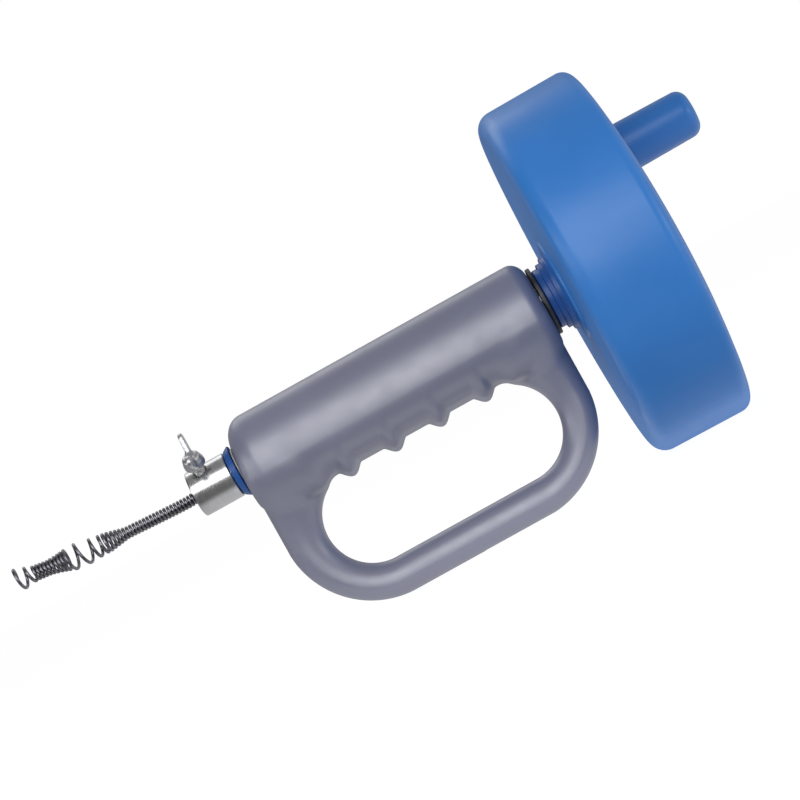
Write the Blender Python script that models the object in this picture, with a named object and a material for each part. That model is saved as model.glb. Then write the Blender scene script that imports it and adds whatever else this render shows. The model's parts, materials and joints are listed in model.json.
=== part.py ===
"""A hand-cranked drum drain auger, as an assembly of separate pieces.

A blue plastic drum holds the coiled steel cable. A hollow spindle carries the drum and runs
through the barrel of a D-shaped grip to a turned steel chuck, where a wing screw clamps the
cable. The drum is cranked by a free-spinning knob on its rear cover.

The tool axis is parallel to X, with the working end at -X. The drum's rim stands on z = 0, and
the loop of the grip ends just above it. Lengths are in metres. A station is a place along the
tool axis, measured from the drum's front face and positive towards the crank.
"""

from math import cos, hypot, pi, radians, sin, sqrt, tau

import bmesh
import bpy
from mathutils import Matrix, Vector

MM = 0.001

# Driving dimensions
DRUM_RADIUS = 92.0 * MM
DRUM_FRONT_RADIUS = 91.3 * MM
DRUM_DEPTH = 51.0 * MM
DRUM_WALL = 2.6 * MM
DRUM_FRONT_FILLET = 8.5 * MM
DRUM_REAR_FILLET = 5.0 * MM
DRUM_SIDES = 48
DRUM_NECK_FRONT = -10.0 * MM

SPINDLE_RADIUS = 8.0 * MM
SPINDLE_BORE = 4.8 * MM
SPINDLE_FRONT = -189.2 * MM
SPINDLE_REAR = 14.0 * MM
RUNNING_GAP = 0.3 * MM
M6_THREAD_RADIUS = 2.95 * MM
M6_HOLE_RADIUS = 3.3 * MM
SPINDLE_CLEAR = SPINDLE_RADIUS + RUNNING_GAP

BARREL_RADIUS = 23.5 * MM
BARREL_FRONT = -176.5 * MM
BARREL_REAR = -12.6 * MM
BARREL_FRONT_EDGE = 10.5 * MM
BARREL_REAR_EDGE = 7.5 * MM
BARREL_BORE = 10.5 * MM
BUSHING_RADIUS = 12.2 * MM
BUSHING_LENGTH = 17.0 * MM

WINDOW_FRONT = -156.5 * MM
WINDOW_REAR = -31.4 * MM
WINDOW_RADIUS = 24.0 * MM
WINDOW_CENTRE = -48.7 * MM
LOOP_FRONT = -177.1 * MM
LOOP_BOTTOM = -91.0 * MM
LOOP_CORNER = 46.0 * MM
LOOP_HALF_DEPTH = 9.3 * MM
LOOP_ROOT_HALF_DEPTH = 18.0 * MM
RIDGE_AXIS = -6.5 * MM
RIDGE_RADIUS = 22.5 * MM
VALLEY_RADIUS = 18.1 * MM
RIDGE_FIRST = -131.0 * MM
RIDGE_PITCH = 24.5 * MM
RIDGE_COUNT = 4

CHUCK_RADIUS = 11.6 * MM
CHUCK_FRONT = -202.6 * MM
CHUCK_REAR = -181.5 * MM
CHUCK_BORE = 4.5 * MM
CLAMP_STATION = -194.5 * MM
CLAMP_TILT = radians(36.0)
GRUB_STATION = -186.3 * MM
GRUB_TILT = radians(215.0)
GRUB_RADIUS = 1.9 * MM

CRANK_OFFSET_Y = 37.0 * MM
CRANK_OFFSET_Z = 47.3 * MM
KNOB_BASE_RADIUS = 12.8 * MM
KNOB_END_RADIUS = 12.3 * MM
KNOB_BASE = 58.6 * MM
KNOB_END = 100.1 * MM

COVER_RADIUS = 86.0 * MM
COVER_BOSS_TOP = 57.0 * MM
COVER_SCREW_CIRCLE = 82.3 * MM
COVER_SCREW_COUNT = 4
COVER_SCREW_HOLE = 1.8 * MM
COVER_SCREW_HEAD = 2.5 * MM
COVER_SCREW_SEAT = 49.6 * MM
COVER_BOSS_RADIUS = 11.5 * MM

CABLE_RADIUS = 3.175 * MM
WIRE_RADIUS = 0.8 * MM
CABLE_TIP_START = -239.9 * MM
COIL_INNER_RADIUS = 68.0 * MM
COIL_OUTER_RADIUS = 86.5 * MM
COIL_FRONT = 7.0 * MM
COIL_REAR = 38.0 * MM

# The drum stands on a flat of its rim, and the model is centred along X.
AXIS_Z = DRUM_RADIUS * cos(pi / DRUM_SIDES)
DRUM_FACE_X = 99.75 * MM

BLUE = (0.048, 0.172, 0.498)
GRIP_GREY = (0.205, 0.212, 0.290)
STEEL = (0.62, 0.62, 0.63)
ZINC = (0.70, 0.70, 0.72)
SPRING_STEEL = (0.10, 0.10, 0.12)
WHITE_PLASTIC = (0.72, 0.72, 0.70)
BLACK_PLASTIC = (0.03, 0.03, 0.035)
BRASS = (0.72, 0.50, 0.18)


# Scene and mesh helpers

def clear_scene():
    for old in list(bpy.data.objects):
        bpy.data.objects.remove(old, do_unlink=True)


def make_material(name, colour, roughness, metallic):
    material = bpy.data.materials.new(name)
    material.use_nodes = True
    shader = material.node_tree.nodes["Principled BSDF"]
    shader.inputs["Base Color"].default_value = (*colour, 1.0)
    shader.inputs["Roughness"].default_value = roughness
    shader.inputs["Metallic"].default_value = metallic
    return material


def make_pivot(name, location, rotation=None):
    """An empty on a joint's axis, which carries the pieces that turn or slide there."""
    pivot = bpy.data.objects.new(name, None)
    bpy.context.scene.collection.objects.link(pivot)
    matrix = Matrix.Translation(location)
    if rotation is not None:
        matrix = matrix @ rotation.to_4x4()
    pivot.matrix_world = matrix
    return pivot


def link_piece(piece, pivot, finish):
    """Puts a piece in the scene under its pivot, with a material of its own."""
    bpy.context.scene.collection.objects.link(piece)
    piece.parent = pivot
    piece.data.materials.append(make_material(piece.name + "_finish", *finish))
    return piece


def mesh_piece(name, form, pivot, finish, offset=(0, 0, 0)):
    """Makes an object from a bmesh, smooth-shaded where its faces meet at a low angle."""
    bmesh.ops.recalc_face_normals(form, faces=form.faces[:])
    mesh = bpy.data.meshes.new(name)
    form.to_mesh(mesh)
    form.free()
    mesh.shade_smooth()
    mesh.set_sharp_from_angle(angle=radians(32))
    piece = link_piece(bpy.data.objects.new(name, mesh), pivot, finish)
    piece.location = offset
    return piece


def cutter_piece(name, form, pivot):
    """Makes a hidden object that only joins or cuts another one."""
    cutter = mesh_piece(name, form, pivot, (STEEL, 0.5, 0.0))
    cutter.hide_render = True
    cutter.display_type = "WIRE"
    return cutter


def combine(piece, cutter, operation):
    """Adds an exact Boolean to a piece."""
    modifier = piece.modifiers.new(cutter.name, "BOOLEAN")
    modifier.operation = operation
    modifier.solver = "EXACT"
    modifier.object = cutter


def turned(profile, sides, axis_offset=0.0):
    """Turns a profile of (station, radius) points about X. A profile that starts and ends at
    radius 0 makes a solid, and any other one is closed into a ring."""
    form = bmesh.new()
    rings = []
    for station, radius in profile:
        if radius == 0.0:
            rings.append([form.verts.new((station, 0.0, axis_offset))])
            continue
        ring = []
        for side in range(sides):
            angle = tau * (side + 0.5) / sides
            ring.append(form.verts.new((station, radius * sin(angle), axis_offset + radius * cos(angle))))
        rings.append(ring)
    pairs = list(zip(rings, rings[1:]))
    if profile[0][1] > 0.0:
        pairs.append((rings[-1], rings[0]))
    for first, second in pairs:
        for side in range(sides):
            after = (side + 1) % sides
            corners = [first[side % len(first)], first[after % len(first)],
                       second[after % len(second)], second[side % len(second)]]
            form.faces.new(list(dict.fromkeys(corners)))
    return form


def arc(station, radius, size, start, end, steps):
    """Points of a fillet of the given size about (station, radius), angles in degrees."""
    points = []
    for step in range(steps + 1):
        angle = radians(start + (end - start) * step / steps)
        points.append((station + size * cos(angle), radius + size * sin(angle)))
    return points


def tube_profile(front, rear, inner, outer, chamfer=0.0):
    """A plain tube, with its outer corners chamfered if a size is given."""
    if chamfer == 0.0:
        return [(front, inner), (front, outer), (rear, outer), (rear, inner)]
    return [(front, inner), (front, outer - chamfer), (front + chamfer, outer),
            (rear - chamfer, outer), (rear, outer - chamfer), (rear, inner)]


def rod_profile(front, rear, radius):
    return [(front, 0.0), (front, radius), (rear, radius), (rear, 0.0)]


def prism(outline, depth):
    """Extrudes an outline of (x, y) points by depth along Z, centred on z = 0."""
    form = bmesh.new()
    lower = [form.verts.new((x, y, -depth / 2)) for x, y in outline]
    upper = [form.verts.new((x, y, depth / 2)) for x, y in outline]
    form.faces.new(lower)
    form.faces.new(upper)
    for index in range(len(outline)):
        after = (index + 1) % len(outline)
        form.faces.new((lower[index], lower[after], upper[after], upper[index]))
    return form


def smooth_route(points, steps):
    """A Catmull-Rom curve through the points, with this many steps between two of them."""
    route = [Vector(point) for point in points]
    padded = [2 * route[0] - route[1], *route, 2 * route[-1] - route[-2]]
    curve = []
    for before, start, end, after in zip(padded, padded[1:], padded[2:], padded[3:]):
        for step in range(steps):
            t = step / steps
            curve.append(0.5 * (2 * start + (end - before) * t
                                + (2 * before - 5 * start + 4 * end - after) * t ** 2
                                + (3 * start - before - 3 * end + after) * t ** 3))
    curve.append(route[-1])
    return curve


def round_bar(name, route, radius, resolution, pivot, finish):
    """A round bar along a route, as a curve with filled ends."""
    curve = bpy.data.curves.new(name, "CURVE")
    curve.dimensions = "3D"
    curve.bevel_depth = radius
    curve.bevel_resolution = resolution
    curve.use_fill_caps = True
    spline = curve.splines.new("POLY")
    spline.points.add(len(route) - 1)
    for point, place in zip(spline.points, route):
        point.co = (*place, 1.0)
    return link_piece(bpy.data.objects.new(name, curve), pivot, finish)


def radial_frame(tilt):
    """Rotation whose X points away from the tool axis, tilted from +Z towards -Y, and whose Z
    points along -X."""
    outward = Vector((0.0, -sin(tilt), cos(tilt)))
    across = Vector((0.0, cos(tilt), sin(tilt)))
    return Matrix((outward, across, outward.cross(across))).transposed()


# Grip

def ridge_profile():
    """The underside of the barrel: four finger ridges on an axis below the barrel's own."""
    first = RIDGE_FIRST - 0.75 * RIDGE_PITCH
    last = RIDGE_FIRST + (RIDGE_COUNT - 0.25) * RIDGE_PITCH
    half_width = 6.0 * MM
    profile = [(first, 0.0), (first, VALLEY_RADIUS - 3 * MM), (first + 5 * MM, VALLEY_RADIUS)]
    for index in range(RIDGE_COUNT):
        crest = RIDGE_FIRST + index * RIDGE_PITCH
        for step in range(-3, 4):
            height = abs(cos(pi * step / 6)) ** 1.2
            radius = VALLEY_RADIUS + (RIDGE_RADIUS - VALLEY_RADIUS) * height
            profile.append((crest + half_width * step / 3, radius))
    profile += [(last - 5 * MM, VALLEY_RADIUS), (last, VALLEY_RADIUS - 3 * MM), (last, 0.0)]
    return profile


def loop_reach(angle, wall):
    """Distance from a window end's centre to the loop's outer outline, at an angle from
    straight up. wall is the distance to the straight outer face of the leg."""
    across = abs(sin(angle))
    up = cos(angle)
    if up >= 0.0:
        return min(wall / across, (WINDOW_RADIUS + 19.5 * MM) / max(up, 0.01))
    corner_across = wall - LOOP_CORNER
    corner_up = LOOP_BOTTOM + LOOP_CORNER - WINDOW_CENTRE
    along = corner_across * across + corner_up * up
    aside = corner_across * up - corner_up * across
    return along + sqrt(LOOP_CORNER ** 2 - aside ** 2)


def loop_sections():
    """Oval sections of the loop, from the barrel round the window and back to the barrel."""
    ends = ((-1, WINDOW_FRONT + WINDOW_RADIUS, LOOP_FRONT),
            (1, WINDOW_REAR - WINDOW_RADIUS, BARREL_REAR - 0.3 * MM))
    sections = []
    for end_side, centre, outer_face in ends:
        wall = abs(outer_face - centre)
        angles = [radians(15 + 15 * step) for step in range(12)]
        if end_side > 0:
            angles.reverse()
        for angle in angles:
            direction = Vector((end_side * sin(angle), 0.0, cos(angle)))
            reach = loop_reach(angle, wall)
            rise = max(0.0, cos(angle)) ** 1.5
            half_depth = LOOP_HALF_DEPTH + (LOOP_ROOT_HALF_DEPTH - LOOP_HALF_DEPTH) * rise
            middle = Vector((centre, 0.0, WINDOW_CENTRE)) + direction * (reach + WINDOW_RADIUS) / 2
            sections.append((middle, direction * (reach - WINDOW_RADIUS) / 2, half_depth))
    return sections


def loop_form(sides=12):
    """Joins the loop's sections into one closed form."""
    form = bmesh.new()
    rings = []
    for middle, half_width, half_depth in loop_sections():
        ring = []
        for side in range(sides):
            angle = tau * (side + 0.5) / sides
            depth = Vector((0.0, half_depth * sin(angle), 0.0))
            ring.append(form.verts.new(middle + half_width * cos(angle) + depth))
        rings.append(ring)
    for first, second in zip(rings, rings[1:]):
        for side in range(sides):
            after = (side + 1) % sides
            form.faces.new((first[side], first[after], second[after], second[side]))
    form.faces.new(rings[0])
    form.faces.new(rings[-1])
    return form


def build_grip(pivot):
    front_edge = BARREL_FRONT_EDGE
    rear_edge = BARREL_REAR_EDGE
    barrel = [(BARREL_FRONT, 0.0)]
    barrel += arc(BARREL_FRONT + front_edge, BARREL_RADIUS - front_edge, front_edge, 180, 90, 5)
    barrel += arc(BARREL_REAR - rear_edge, BARREL_RADIUS - rear_edge, rear_edge, 90, 0, 4)
    barrel.append((BARREL_REAR, 0.0))
    grip = mesh_piece("handle_grip", turned(barrel, 32), pivot, (GRIP_GREY, 0.42, 0.0))
    combine(grip, cutter_piece("loop_form", loop_form(), pivot), "UNION")
    ridges = turned(ridge_profile(), 24, axis_offset=RIDGE_AXIS)
    combine(grip, cutter_piece("ridge_form", ridges, pivot), "UNION")

    seat = BUSHING_RADIUS + RUNNING_GAP
    depth = BUSHING_LENGTH + 2 * RUNNING_GAP
    past = 2 * MM
    bore = [(BARREL_FRONT - past, 0.0), (BARREL_FRONT - past, seat), (BARREL_FRONT + depth, seat),
            (BARREL_FRONT + depth, BARREL_BORE), (BARREL_REAR - depth, BARREL_BORE),
            (BARREL_REAR - depth, seat), (BARREL_REAR + past, seat), (BARREL_REAR + past, 0.0)]
    combine(grip, cutter_piece("bore_form", turned(bore, 24), pivot), "DIFFERENCE")


def build_bushings(pivot):
    finish = (BLACK_PLASTIC, 0.5, 0.0)
    starts = (("front_bushing", BARREL_FRONT + RUNNING_GAP),
              ("rear_bushing", BARREL_REAR - RUNNING_GAP - BUSHING_LENGTH))
    for name, front in starts:
        profile = tube_profile(front, front + BUSHING_LENGTH, SPINDLE_CLEAR, BUSHING_RADIUS)
        mesh_piece(name, turned(profile, 24), pivot, finish)


# Drum

def build_drum_shell(pivot):
    front = DRUM_FRONT_FILLET
    rear = DRUM_REAR_FILLET
    rebate = COVER_RADIUS + RUNNING_GAP
    ledge_rear = 46.7 * MM
    ledge_front = 43.5 * MM
    ledge_radius = 78.5 * MM
    profile = [(DRUM_NECK_FRONT, SPINDLE_CLEAR), (DRUM_NECK_FRONT, 15.3 * MM), (-6.9 * MM, 15.3 * MM),
               (-6.9 * MM, 17.0 * MM), (-4.4 * MM, 17.0 * MM), (-4.4 * MM, 19.0 * MM),
               (-2.0 * MM, 19.0 * MM), (-1.3 * MM, 25.4 * MM), (0.0, 26.2 * MM)]
    profile += arc(front, DRUM_FRONT_RADIUS - front, front, 180, 90, 4)
    profile += arc(DRUM_DEPTH - rear, DRUM_RADIUS - rear, rear, 90, 0, 3)
    profile += [(DRUM_DEPTH, rebate), (ledge_rear, rebate), (ledge_rear, ledge_radius),
                (ledge_front, ledge_radius), (ledge_front, DRUM_RADIUS - DRUM_WALL)]
    inner = front - DRUM_WALL
    profile += arc(front, DRUM_FRONT_RADIUS - front, inner, 90, 180, 2)
    profile += [(DRUM_WALL, 22.0 * MM), (4.5 * MM, 20.0 * MM), (4.5 * MM, SPINDLE_CLEAR)]
    shell = mesh_piece("drum_shell", turned(profile, DRUM_SIDES), pivot, (BLUE, 0.33, 0.0))

    holes = bmesh.new()
    for y, z in cover_screw_places():
        hole = turned(rod_profile(40 * MM, 50 * MM, COVER_SCREW_HOLE), 12)
        add_form(holes, hole, (0.0, y, z))
    combine(shell, cutter_piece("ledge_holes", holes, pivot), "DIFFERENCE")


def add_form(form, other, offset):
    """Adds another bmesh to a form, moved by offset."""
    bmesh.ops.translate(other, verts=other.verts[:], vec=offset)
    mesh = bpy.data.meshes.new("scratch")
    other.to_mesh(mesh)
    other.free()
    form.from_mesh(mesh)
    bpy.data.meshes.remove(mesh)


def cover_screw_places():
    """Places of the cover's screws, as (y, z) from the tool axis."""
    places = []
    for index in range(COVER_SCREW_COUNT):
        angle = tau * (index + 0.5) / COVER_SCREW_COUNT
        places.append((COVER_SCREW_CIRCLE * sin(angle), COVER_SCREW_CIRCLE * cos(angle)))
    return places


def build_rear_cover(pivot):
    profile = [(56.1, 0.0), (56.1, 47.7), (55.5, 48.3), (54.1, 48.8), (54.1, 67.7), (53.6, 68.3),
               (52.6, 68.8), (52.6, 78.2), (51.4, 79.0), (51.4, 85.4), (50.8, 86.0), (47.0, 86.0),
               (47.0, 78.0), (50.0, 76.0), (50.0, 66.8), (51.7, 66.2), (51.7, 46.6), (53.7, 46.0),
               (53.7, 0.0)]
    form = turned([(station * MM, radius * MM) for station, radius in profile], DRUM_SIDES)
    cover = mesh_piece("rear_cover", form, pivot, (BLUE, 0.38, 0.0))

    boss = turned(rod_profile(52.2 * MM, COVER_BOSS_TOP, COVER_BOSS_RADIUS), 24)
    crank = (0.0, CRANK_OFFSET_Y, CRANK_OFFSET_Z)
    combine(cover, cutter_form_at("boss_form", boss, pivot, crank), "UNION")

    holes = turned(rod_profile(45 * MM, 60 * MM, M6_HOLE_RADIUS), 16)
    bmesh.ops.translate(holes, verts=holes.verts[:], vec=crank)
    sunk = COVER_SCREW_SEAT - RUNNING_GAP
    sink_radius = COVER_SCREW_HEAD + RUNNING_GAP
    for y, z in cover_screw_places():
        hole = turned([(45 * MM, 0.0), (45 * MM, COVER_SCREW_HOLE), (sunk, COVER_SCREW_HOLE),
                       (sunk, sink_radius), (54 * MM, sink_radius), (54 * MM, 0.0)], 16)
        add_form(holes, hole, (0.0, y, z))
    combine(cover, cutter_piece("cover_holes", holes, pivot), "DIFFERENCE")


def cutter_form_at(name, form, pivot, offset):
    """A hidden cutter that is moved to an offset from its pivot."""
    bmesh.ops.translate(form, verts=form.verts[:], vec=offset)
    return cutter_piece(name, form, pivot)


def build_cover_screws(pivot):
    seat = COVER_SCREW_SEAT
    head = COVER_SCREW_HEAD
    profile = [(42.0 * MM, 0.0), (43.2 * MM, 1.4 * MM), (seat, 1.4 * MM), (seat, head),
               (seat + 1.0 * MM, head), (seat + 1.6 * MM, 0.7 * head), (seat + 1.6 * MM, 0.0)]
    for index, (y, z) in enumerate(cover_screw_places()):
        name = f"cover_screw_{index + 1}"
        mesh_piece(name, turned(profile, 12), pivot, (ZINC, 0.3, 1.0), (0.0, y, z))


def build_spindle_set(pivot):
    """The hollow spindle and the rings and washers that it carries outside the drum."""
    spindle = tube_profile(SPINDLE_FRONT, SPINDLE_REAR, SPINDLE_BORE, SPINDLE_RADIUS, 0.6 * MM)
    mesh_piece("spindle_tube", turned(spindle, 24), pivot, (STEEL, 0.35, 1.0))
    thrust_rear = BARREL_FRONT - RUNNING_GAP
    thrust_front = thrust_rear - 0.8 * MM
    thrust = tube_profile(thrust_front, thrust_rear, SPINDLE_CLEAR, 11.3 * MM)
    mesh_piece("front_washer", turned(thrust, 32), pivot, (WHITE_PLASTIC, 0.45, 0.0))
    collar_front = CHUCK_REAR + RUNNING_GAP
    collar_rear = thrust_front - RUNNING_GAP
    collar = [(collar_front, SPINDLE_CLEAR), (collar_front, 11.3 * MM),
              (collar_front + 0.4 * MM, 11.7 * MM), (collar_rear - 0.5 * MM, 13.6 * MM),
              (collar_rear, 13.3 * MM), (collar_rear, SPINDLE_CLEAR)]
    mesh_piece("front_collar", turned(collar, 32), pivot, (BLUE, 0.3, 0.0))
    washer_front = BARREL_REAR + RUNNING_GAP
    washer_rear = DRUM_NECK_FRONT - RUNNING_GAP
    washer = tube_profile(washer_front, washer_rear, SPINDLE_CLEAR, 17.5 * MM, 0.4 * MM)
    mesh_piece("rear_washer", turned(washer, 32), pivot, (STEEL, 0.3, 1.0))


def build_spindle_nut(pivot):
    """The nut inside the drum that clamps the drum's neck on the spindle, and its washer."""
    washer = tube_profile(4.8 * MM, 6.3 * MM, SPINDLE_CLEAR, 15.0 * MM)
    mesh_piece("spindle_nut_washer", turned(washer, 24), pivot, (ZINC, 0.35, 1.0))
    nut = turned(rod_profile(6.6 * MM, 12.6 * MM, 14.5 * MM), 6)
    piece = mesh_piece("spindle_nut", nut, pivot, (ZINC, 0.35, 1.0))
    hole = turned(rod_profile(5 * MM, 14 * MM, SPINDLE_CLEAR), 24)
    combine(piece, cutter_piece("spindle_nut_hole", hole, pivot), "DIFFERENCE")


def build_crank_hardware(pivot):
    """The shoulder screw that the knob turns on, its washer and the nut inside the cover."""
    shoulder = 4.0 * MM
    thread = M6_THREAD_RADIUS
    screw = [(43.5 * MM, 0.0), (44.3 * MM, thread - 0.6 * MM), (45.0 * MM, thread),
             (COVER_BOSS_TOP + RUNNING_GAP, thread), (COVER_BOSS_TOP + RUNNING_GAP, shoulder),
             (93.0 * MM, shoulder), (93.0 * MM, 7.0 * MM), (95.6 * MM, 7.0 * MM),
             (97.0 * MM, 5.2 * MM), (97.0 * MM, 0.0)]
    mesh_piece("crank_screw", turned(screw, 24), pivot, (ZINC, 0.3, 1.0))
    washer = tube_profile(COVER_BOSS_TOP + RUNNING_GAP, KNOB_BASE - RUNNING_GAP, 4.3 * MM, 8.5 * MM)
    mesh_piece("crank_washer", turned(washer, 24), pivot, (ZINC, 0.35, 1.0))
    nut = turned(rod_profile(46.2 * MM, 51.4 * MM, 5.7 * MM), 6)
    piece = mesh_piece("crank_nut", nut, pivot, (ZINC, 0.35, 1.0))
    hole = turned(rod_profile(45 * MM, 53 * MM, M6_HOLE_RADIUS), 16)
    combine(piece, cutter_piece("crank_nut_hole", hole, pivot), "DIFFERENCE")


def build_crank_knob(pivot):
    bore = 4.3 * MM
    recess = 8.0 * MM
    fillet = 3.5 * MM
    profile = [(KNOB_BASE, bore), (KNOB_BASE, KNOB_BASE_RADIUS - 0.8 * MM),
               (KNOB_BASE + 0.8 * MM, KNOB_BASE_RADIUS)]
    profile += arc(KNOB_END - fillet, KNOB_END_RADIUS - fillet, fillet, 90, 0, 4)
    profile += [(KNOB_END, recess), (92.7 * MM, recess), (92.7 * MM, bore)]
    mesh_piece("crank_knob", turned(profile, 28), pivot, (BLUE, 0.36, 0.0))


# Chuck and clamp

def build_chuck(pivot, clamp_pivot, grub_pivot):
    edge = 0.7 * MM
    seat = SPINDLE_FRONT - RUNNING_GAP
    profile = [(CHUCK_FRONT, CHUCK_BORE + edge), (CHUCK_FRONT, CHUCK_RADIUS - edge),
               (CHUCK_FRONT + edge, CHUCK_RADIUS), (CHUCK_REAR - edge, CHUCK_RADIUS),
               (CHUCK_REAR, CHUCK_RADIUS - edge), (CHUCK_REAR, SPINDLE_CLEAR),
               (seat, SPINDLE_CLEAR), (seat, CHUCK_BORE), (CHUCK_FRONT + edge, CHUCK_BORE)]
    chuck = mesh_piece("chuck_body", turned(profile, 32), pivot, (STEEL, 0.22, 1.0))
    clamp_hole = turned(rod_profile(2 * MM, 14 * MM, M6_HOLE_RADIUS), 16)
    combine(chuck, cutter_piece("clamp_hole", clamp_hole, clamp_pivot), "DIFFERENCE")
    grub_hole = turned(rod_profile(6 * MM, 14 * MM, GRUB_RADIUS + RUNNING_GAP), 12)
    combine(chuck, cutter_piece("grub_hole", grub_hole, grub_pivot), "DIFFERENCE")
    grub = rod_profile(SPINDLE_CLEAR + 0.2 * MM, 11.2 * MM, GRUB_RADIUS)
    mesh_piece("chuck_grub_screw", turned(grub, 12), grub_pivot, (BLACK_PLASTIC, 0.4, 1.0))


def build_clamp_shoe(pivot):
    """The small brass shoe between the wing screw and the cable."""
    mesh_piece("clamp_shoe", turned(rod_profile(3.3 * MM, 5.6 * MM, 2.7 * MM), 16), pivot,
               (BRASS, 0.35, 1.0))


def wing_outline(side):
    """Outline of one wing, as (height over the tool axis, reach from the screw's axis)."""
    base = 15.9 * MM
    tip_height = 25.4 * MM
    tip_reach = 9.9 * MM
    tip_size = 3.1 * MM
    outline = [(base + 5.2 * MM, 1.0 * MM), (base, 1.0 * MM), (base, 4.6 * MM)]
    for height, reach in arc(tip_height, tip_reach, tip_size, 130, -20, 7):
        outline.append((height, reach))
    return [(height, side * reach) for height, reach in outline]


def build_wing_screw(pivot):
    """A shank, a domed hub on it, and two wings in the plane across the tool axis."""
    shank_end = 5.9 * MM
    seat = 15.1 * MM
    wing_thickness = 2.9 * MM
    screw = [(shank_end, 0.0), (shank_end, 2.5 * MM), (6.3 * MM, M6_THREAD_RADIUS),
             (seat, M6_THREAD_RADIUS), (seat, 5.1 * MM), (15.5 * MM, 5.5 * MM),
             (18.2 * MM, 5.4 * MM), (20.8 * MM, 4.6 * MM), (21.8 * MM, 3.6 * MM), (21.8 * MM, 0.0)]
    piece = mesh_piece("wing_screw", turned(screw, 20), pivot, (ZINC, 0.25, 1.0))
    for side, name in ((1, "far_wing"), (-1, "near_wing")):
        wing = cutter_piece(name, prism(wing_outline(side), wing_thickness), pivot)
        combine(piece, wing, "UNION")


# Cable

def cable_height(station):
    """Height of the cable's centre line over the tool axis: it lies low in the chuck's mouth,
    and its free end and then its tip bend gently upwards."""
    out = -211.0 * MM - station
    far = -262.0 * MM - station
    rise = 0.026 * (out + hypot(out, 6.0 * MM)) + 0.0375 * (far + hypot(far, 8.0 * MM))
    sag = 1.35 * MM / (1.0 + (max(0.0, station + 208.0 * MM) / (8.0 * MM)) ** 2)
    return rise - sag


def tip_windings():
    """The auger tip's wire: (turns, station, radius of the wire's centre), in turn order."""
    windings = ((0, -240.7, 2.375), (3, -246.4, 3.5), (5, -250.6, 4.4), (6, -252.7, 4.5),
                (6.5, -253.8, 4.6), (7, -256.6, 4.8), (7.5, -258.3, 5.0), (8, -262.4, 5.5),
                (8.5, -266.1, 5.9), (9, -270.0, 5.7), (9.25, -271.4, 5.2), (10.25, -273.5, 4.7),
                (11.25, -275.2, 4.3), (12.25, -277.1, 3.9), (13.25, -279.2, 3.6), (14.5, -281.5, 3.2),
                (18.25, -288.4, 3.3), (19, -290.0, 3.5), (19.5, -292.5, 4.3), (20, -296.1, 4.9),
                (20.5, -297.5, 5.5), (20.75, -298.9, 5.0))
    return [(turn, station * MM, radius * MM) for turn, station, radius in windings]


def tip_route(steps_per_turn):
    """Points along the auger tip's wire."""
    windings = tip_windings()
    route = []
    count = round(windings[-1][0] * steps_per_turn)
    for step in range(count + 1):
        turn = windings[-1][0] * step / count
        for (turn_a, station_a, radius_a), (turn_b, station_b, radius_b) in zip(windings, windings[1:]):
            if turn <= turn_b:
                break
        part = (turn - turn_a) / (turn_b - turn_a)
        station = station_a + (station_b - station_a) * part
        radius = radius_a + (radius_b - radius_a) * part
        angle = tau * (turn + 0.5)
        height = cable_height(station)
        route.append(Vector((station, radius * sin(angle), height + radius * cos(angle))))
    return route


def build_cable(drum_pivot, cable_pivot):
    finish = (SPRING_STEEL, 0.38, 1.0)
    corner = 3.0 * MM
    coil = []
    coil += arc(COIL_FRONT + corner, COIL_OUTER_RADIUS - corner, corner, 180, 90, 1)
    coil += arc(COIL_REAR - corner, COIL_OUTER_RADIUS - corner, corner, 90, 0, 1)
    coil += arc(COIL_REAR - corner, COIL_INNER_RADIUS + corner, corner, 0, -90, 1)
    coil += arc(COIL_FRONT + corner, COIL_INNER_RADIUS + corner, corner, 270, 180, 1)
    mesh_piece("cable_coil", turned(coil, 32), drum_pivot, finish)

    lead = [(34.0, 29.0, -57.4), (37.0, 41.0, -46.5), (40.0, 50.0, -29.0), (41.5, 45.5, -9.0),
            (41.5, 27.0, -1.0), (39.5, 16.5, 0.0), (34.0, 7.7, 0.0), (25.0, 1.9, 0.0),
            (19.5, 0.4, 0.0), (14.6, 0.0, 0.0)]
    places = [(station * MM, y * MM, z * MM) for station, y, z in lead]
    round_bar("cable_lead", smooth_route(places, 3), CABLE_RADIUS, 2, drum_pivot, finish)

    ahead = [14.0, -10.0, -50.0, -90.0, -130.0, -165.0, -182.0]
    ahead += [-187.0 - 6.0 * step for step in range(9)]
    stations = [station * MM for station in ahead] + [CABLE_TIP_START + WIRE_RADIUS / 4]
    shaft = [(station, 0.0, cable_height(station)) for station in stations]
    round_bar("cable_shaft", shaft, CABLE_RADIUS, 2, cable_pivot, finish)
    round_bar("auger_tip", tip_route(8), WIRE_RADIUS, 1, cable_pivot, finish)


def build_cable_end_clip(pivot):
    """The clip that holds the cable's inner end, under the ledge at one cover screw."""
    y, z = cover_screw_places()[2]
    half_length = 7.0 * MM
    half_width = 3.4 * MM
    outline = [(-half_length, -half_width), (half_length, -half_width),
               (half_length, half_width), (-half_length, half_width)]
    form = prism(outline, 4.4 * MM)
    along = Vector((0.0, -z, y)).normalized()
    inward = Vector((0.0, -y, -z)).normalized()
    turn = Matrix((along, inward, along.cross(inward))).transposed()
    bmesh.ops.transform(form, matrix=turn.to_4x4(), verts=form.verts[:])
    bmesh.ops.translate(form, verts=form.verts[:], vec=(40.9 * MM, y, z))
    clip = mesh_piece("cable_end_clip", form, pivot, (ZINC, 0.4, 1.0))
    hole = turned(rod_profile(36 * MM, 46 * MM, COVER_SCREW_HOLE), 12)
    combine(clip, cutter_form_at("clip_hole", hole, pivot, (0.0, y, z)), "DIFFERENCE")


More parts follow.
